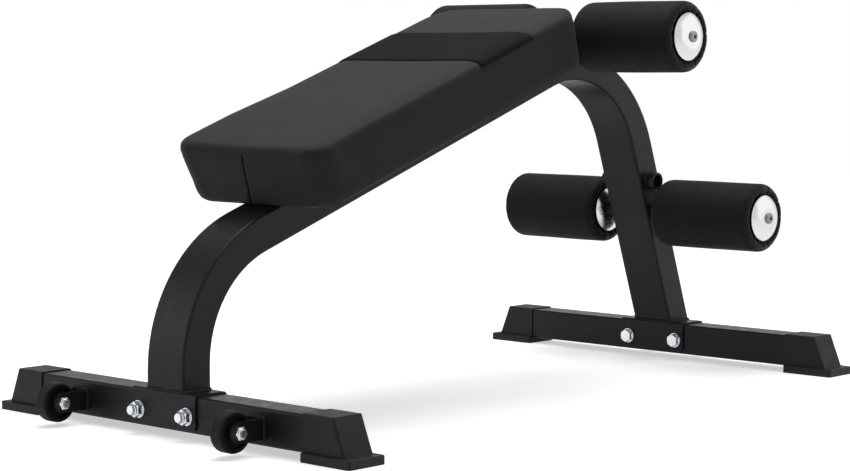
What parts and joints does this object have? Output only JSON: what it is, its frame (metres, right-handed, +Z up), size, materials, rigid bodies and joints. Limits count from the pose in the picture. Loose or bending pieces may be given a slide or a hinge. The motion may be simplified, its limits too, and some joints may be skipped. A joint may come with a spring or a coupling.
{
  "type": "decline sit-up bench",
  "caption": "Fixed-angle decline sit-up bench: a bent rectangular-tube frame on two cross bases carries a sloping pad, padded leg rollers with chrome caps, and transport wheels.",
  "frame": {"origin": "on the floor, under the middle of the bench's bounding box", "axes": "+X from the wheel end to the roller end along the bench, +Y to the left side, +Z up"},
  "size_m": [1.225, 0.714, 0.5949],
  "materials": {
    "frame_paint": "satin black powder coat",
    "foot_plastic": "fine grained black moulding",
    "wheel_rubber": "matt black",
    "zinc_steel": "bright zinc plating",
    "chrome": "polished",
    "roller_cover": "matt black leatherette",
    "liner_plastic": "plain",
    "bar_steel": "bright drawn",
    "pad_cover": "dark grey-black leatherette with a soft sheen",
    "band_fabric": "darker woven band",
    "plywood": "plain sheet"
  },
  "bodies": {
    "frame": {"cap_screws": "zinc_steel", "front_base_bolts": "zinc_steel", "front_base_nuts": "zinc_steel", "front_base_tube": "frame_paint", "front_base_washers": "zinc_steel", "front_left_foot": "foot_plastic", "front_right_foot": "foot_plastic", "front_saddle": "frame_paint", "left_wheel_bush": "bar_steel", "left_wheel_fork": "frame_paint", "lower_axle": "bar_steel", "lower_left_inner_cap": "chrome", "lower_left_outer_cap": "chrome", "lower_right_inner_cap": "chrome", "lower_right_outer_cap": "chrome", "lower_sleeve": "frame_paint", "main_frame": "frame_paint", "pad_band": "band_fabric", "pad_board": "plywood", "pad_bolts": "zinc_steel", "pad_cushion": "pad_cover", "pad_tab_front_left": "frame_paint", "pad_tab_front_right": "frame_paint", "pad_tab_rear_left": "frame_paint", "pad_tab_rear_right": "frame_paint", "pad_tnuts": "zinc_steel", "pad_washers": "zinc_steel", "rear_base_bolts": "zinc_steel", "rear_base_nuts": "zinc_steel", "rear_base_tube": "frame_paint", "rear_base_washers": "zinc_steel", "rear_left_foot": "foot_plastic", "rear_right_foot": "foot_plastic", "rear_saddle": "frame_paint", "right_wheel_bush": "bar_steel", "right_wheel_fork": "frame_paint", "spare_sleeve": "frame_paint", "upper_axle": "bar_steel", "upper_left_inner_cap": "chrome", "upper_left_outer_cap": "chrome", "upper_right_inner_cap": "chrome", "upper_right_outer_cap": "chrome", "upper_sleeve": "frame_paint", "upper_sleeve_seat": "frame_paint", "wheel_bolts": "zinc_steel", "wheel_nuts": "zinc_steel"},
    "left_wheel": {"left_wheel": "wheel_rubber"},
    "right_wheel": {"right_wheel": "wheel_rubber"},
    "upper_left_roller": {"upper_left_roller": "roller_cover", "upper_left_liner": "liner_plastic"},
    "upper_right_roller": {"upper_right_roller": "roller_cover", "upper_right_liner": "liner_plastic"},
    "lower_left_roller": {"lower_left_roller": "roller_cover", "lower_left_liner": "liner_plastic"},
    "lower_right_roller": {"lower_right_roller": "roller_cover", "lower_right_liner": "liner_plastic"}
  },
  "joints": [
    {"name": "left_wheel_spin", "type": "hinge", "parent": "frame", "child": "left_wheel", "pos_m": [-0.585, 0.18, 0.033], "axis": [0, 1, 0], "continuous": true},
    {"name": "right_wheel_spin", "type": "hinge", "parent": "frame", "child": "right_wheel", "pos_m": [-0.585, -0.18, 0.033], "axis": [0, 1, 0], "continuous": true},
    {"name": "upper_left_roller_spin", "type": "hinge", "parent": "frame", "child": "upper_left_roller", "pos_m": [0.29043, 0.15725, 0.53988], "axis": [0, 1, 0], "continuous": true},
    {"name": "upper_right_roller_spin", "type": "hinge", "parent": "frame", "child": "upper_right_roller", "pos_m": [0.29043, -0.15725, 0.53988], "axis": [0, 1, 0], "continuous": true},
    {"name": "lower_left_roller_spin", "type": "hinge", "parent": "frame", "child": "lower_left_roller", "pos_m": [0.49991, 0.15725, 0.25141], "axis": [0, 1, 0], "continuous": true},
    {"name": "lower_right_roller_spin", "type": "hinge", "parent": "frame", "child": "lower_right_roller", "pos_m": [0.49991, -0.15725, 0.25141], "axis": [0, 1, 0], "continuous": true}
  ]
}
